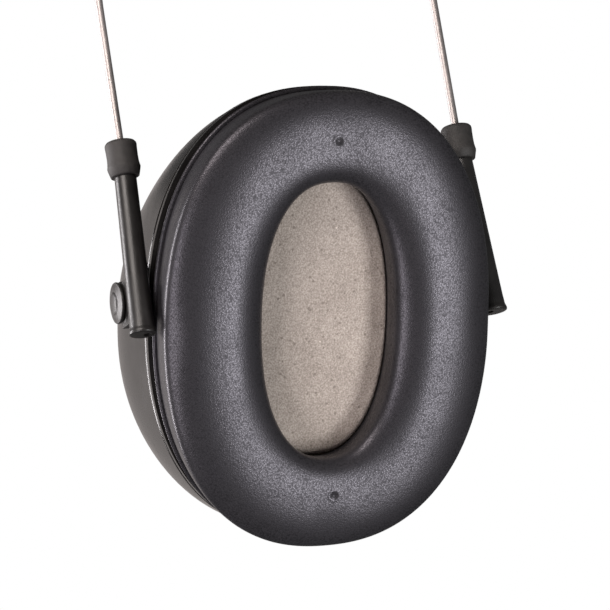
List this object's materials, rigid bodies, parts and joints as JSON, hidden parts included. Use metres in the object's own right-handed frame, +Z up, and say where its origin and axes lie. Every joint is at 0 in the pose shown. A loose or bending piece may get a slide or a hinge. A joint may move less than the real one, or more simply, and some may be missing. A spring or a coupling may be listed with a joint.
{
  "type": "hearing protection earmuffs",
  "caption": "Hearing protection earmuffs: padded oval ear cups that tilt on sliding side arms, hung from a padded headband of parallel spring steel wires.",
  "frame": {"origin": "midway between the faces of the two ear cushions, where the centre of the wearer's head goes", "axes": "+X towards the right ear, +Y towards the wearer's face, +Z up towards the crown"},
  "size_m": [0.1878, 0.0966, 0.2339],
  "materials": {
    "shell_plastic": "smooth semi-gloss moulded black",
    "plate_plastic": "smooth semi-gloss moulded black with a worn rim",
    "cushion_skin": "fine-grained satin synthetic leather, bluish black",
    "inner_foam": "open-cell foam",
    "liner_foam": "grey-brown open-cell foam with dark specks",
    "pin_plastic": "satin moulded dark grey",
    "arm_plastic": "semi-gloss moulded black",
    "cap_rubber": "matt dark grey",
    "spring_wire": "polished stainless spring steel",
    "bridge_plastic": "satin moulded black",
    "pad_skin": "fine-grained satin synthetic leather, black, stitched"
  },
  "bodies": {
    "headband": {"head_pad_cover": "pad_skin", "head_pad_foam": "inner_foam", "front_crown_wire": "spring_wire", "rear_crown_wire": "spring_wire", "left_wire_bridge": "bridge_plastic", "right_wire_bridge": "bridge_plastic"},
    "left_leg": {"left_front_leg_wire": "spring_wire", "left_rear_leg_wire": "spring_wire"},
    "left_arms": {"left_front_arm": "arm_plastic", "left_rear_arm": "arm_plastic", "left_front_cap": "cap_rubber", "left_rear_cap": "cap_rubber"},
    "left_cup": {"left_cup_shell": "shell_plastic", "left_cushion_plate": "plate_plastic", "left_ear_cushion": "cushion_skin", "left_cushion_foam": "inner_foam", "left_foam_liner": "liner_foam", "left_front_pin": "pin_plastic", "left_rear_pin": "pin_plastic"},
    "right_leg": {"right_front_leg_wire": "spring_wire", "right_rear_leg_wire": "spring_wire"},
    "right_arms": {"right_front_arm": "arm_plastic", "right_rear_arm": "arm_plastic", "right_front_cap": "cap_rubber", "right_rear_cap": "cap_rubber"},
    "right_cup": {"right_cup_shell": "shell_plastic", "right_cushion_plate": "plate_plastic", "right_ear_cushion": "cushion_skin", "right_cushion_foam": "inner_foam", "right_foam_liner": "liner_foam", "right_front_pin": "pin_plastic", "right_rear_pin": "pin_plastic"}
  },
  "joints": [
    {"name": "left_band_flex", "type": "hinge", "parent": "headband", "child": "left_leg", "pos_m": [-0.06235, 0, 0.14214], "axis": [0, 1, 0], "range_deg": [0, 24], "stiffness_Nm_per_rad": 3.5},
    {"name": "left_arm_slide", "type": "slide", "parent": "left_leg", "child": "left_arms", "axis": [-0.309, 0, 0.9511], "range_m": [0, 0.03]},
    {"name": "left_cup_tilt", "type": "hinge", "parent": "left_arms", "child": "left_cup", "pos_m": [-0.05103, 0, 0.00754], "axis": [0, 1, 0], "range_deg": [-42, 15]},
    {"name": "right_band_flex", "type": "hinge", "parent": "headband", "child": "right_leg", "pos_m": [0.06235, 0, 0.14214], "axis": [0, -1, 0], "range_deg": [0, 24], "stiffness_Nm_per_rad": 3.5},
    {"name": "right_arm_slide", "type": "slide", "parent": "right_leg", "child": "right_arms", "axis": [0.309, 0, 0.9511], "range_m": [0, 0.03]},
    {"name": "right_cup_tilt", "type": "hinge", "parent": "right_arms", "child": "right_cup", "pos_m": [0.05103, 0, 0.00754], "axis": [0, -1, 0], "range_deg": [-42, 15]}
  ]
}
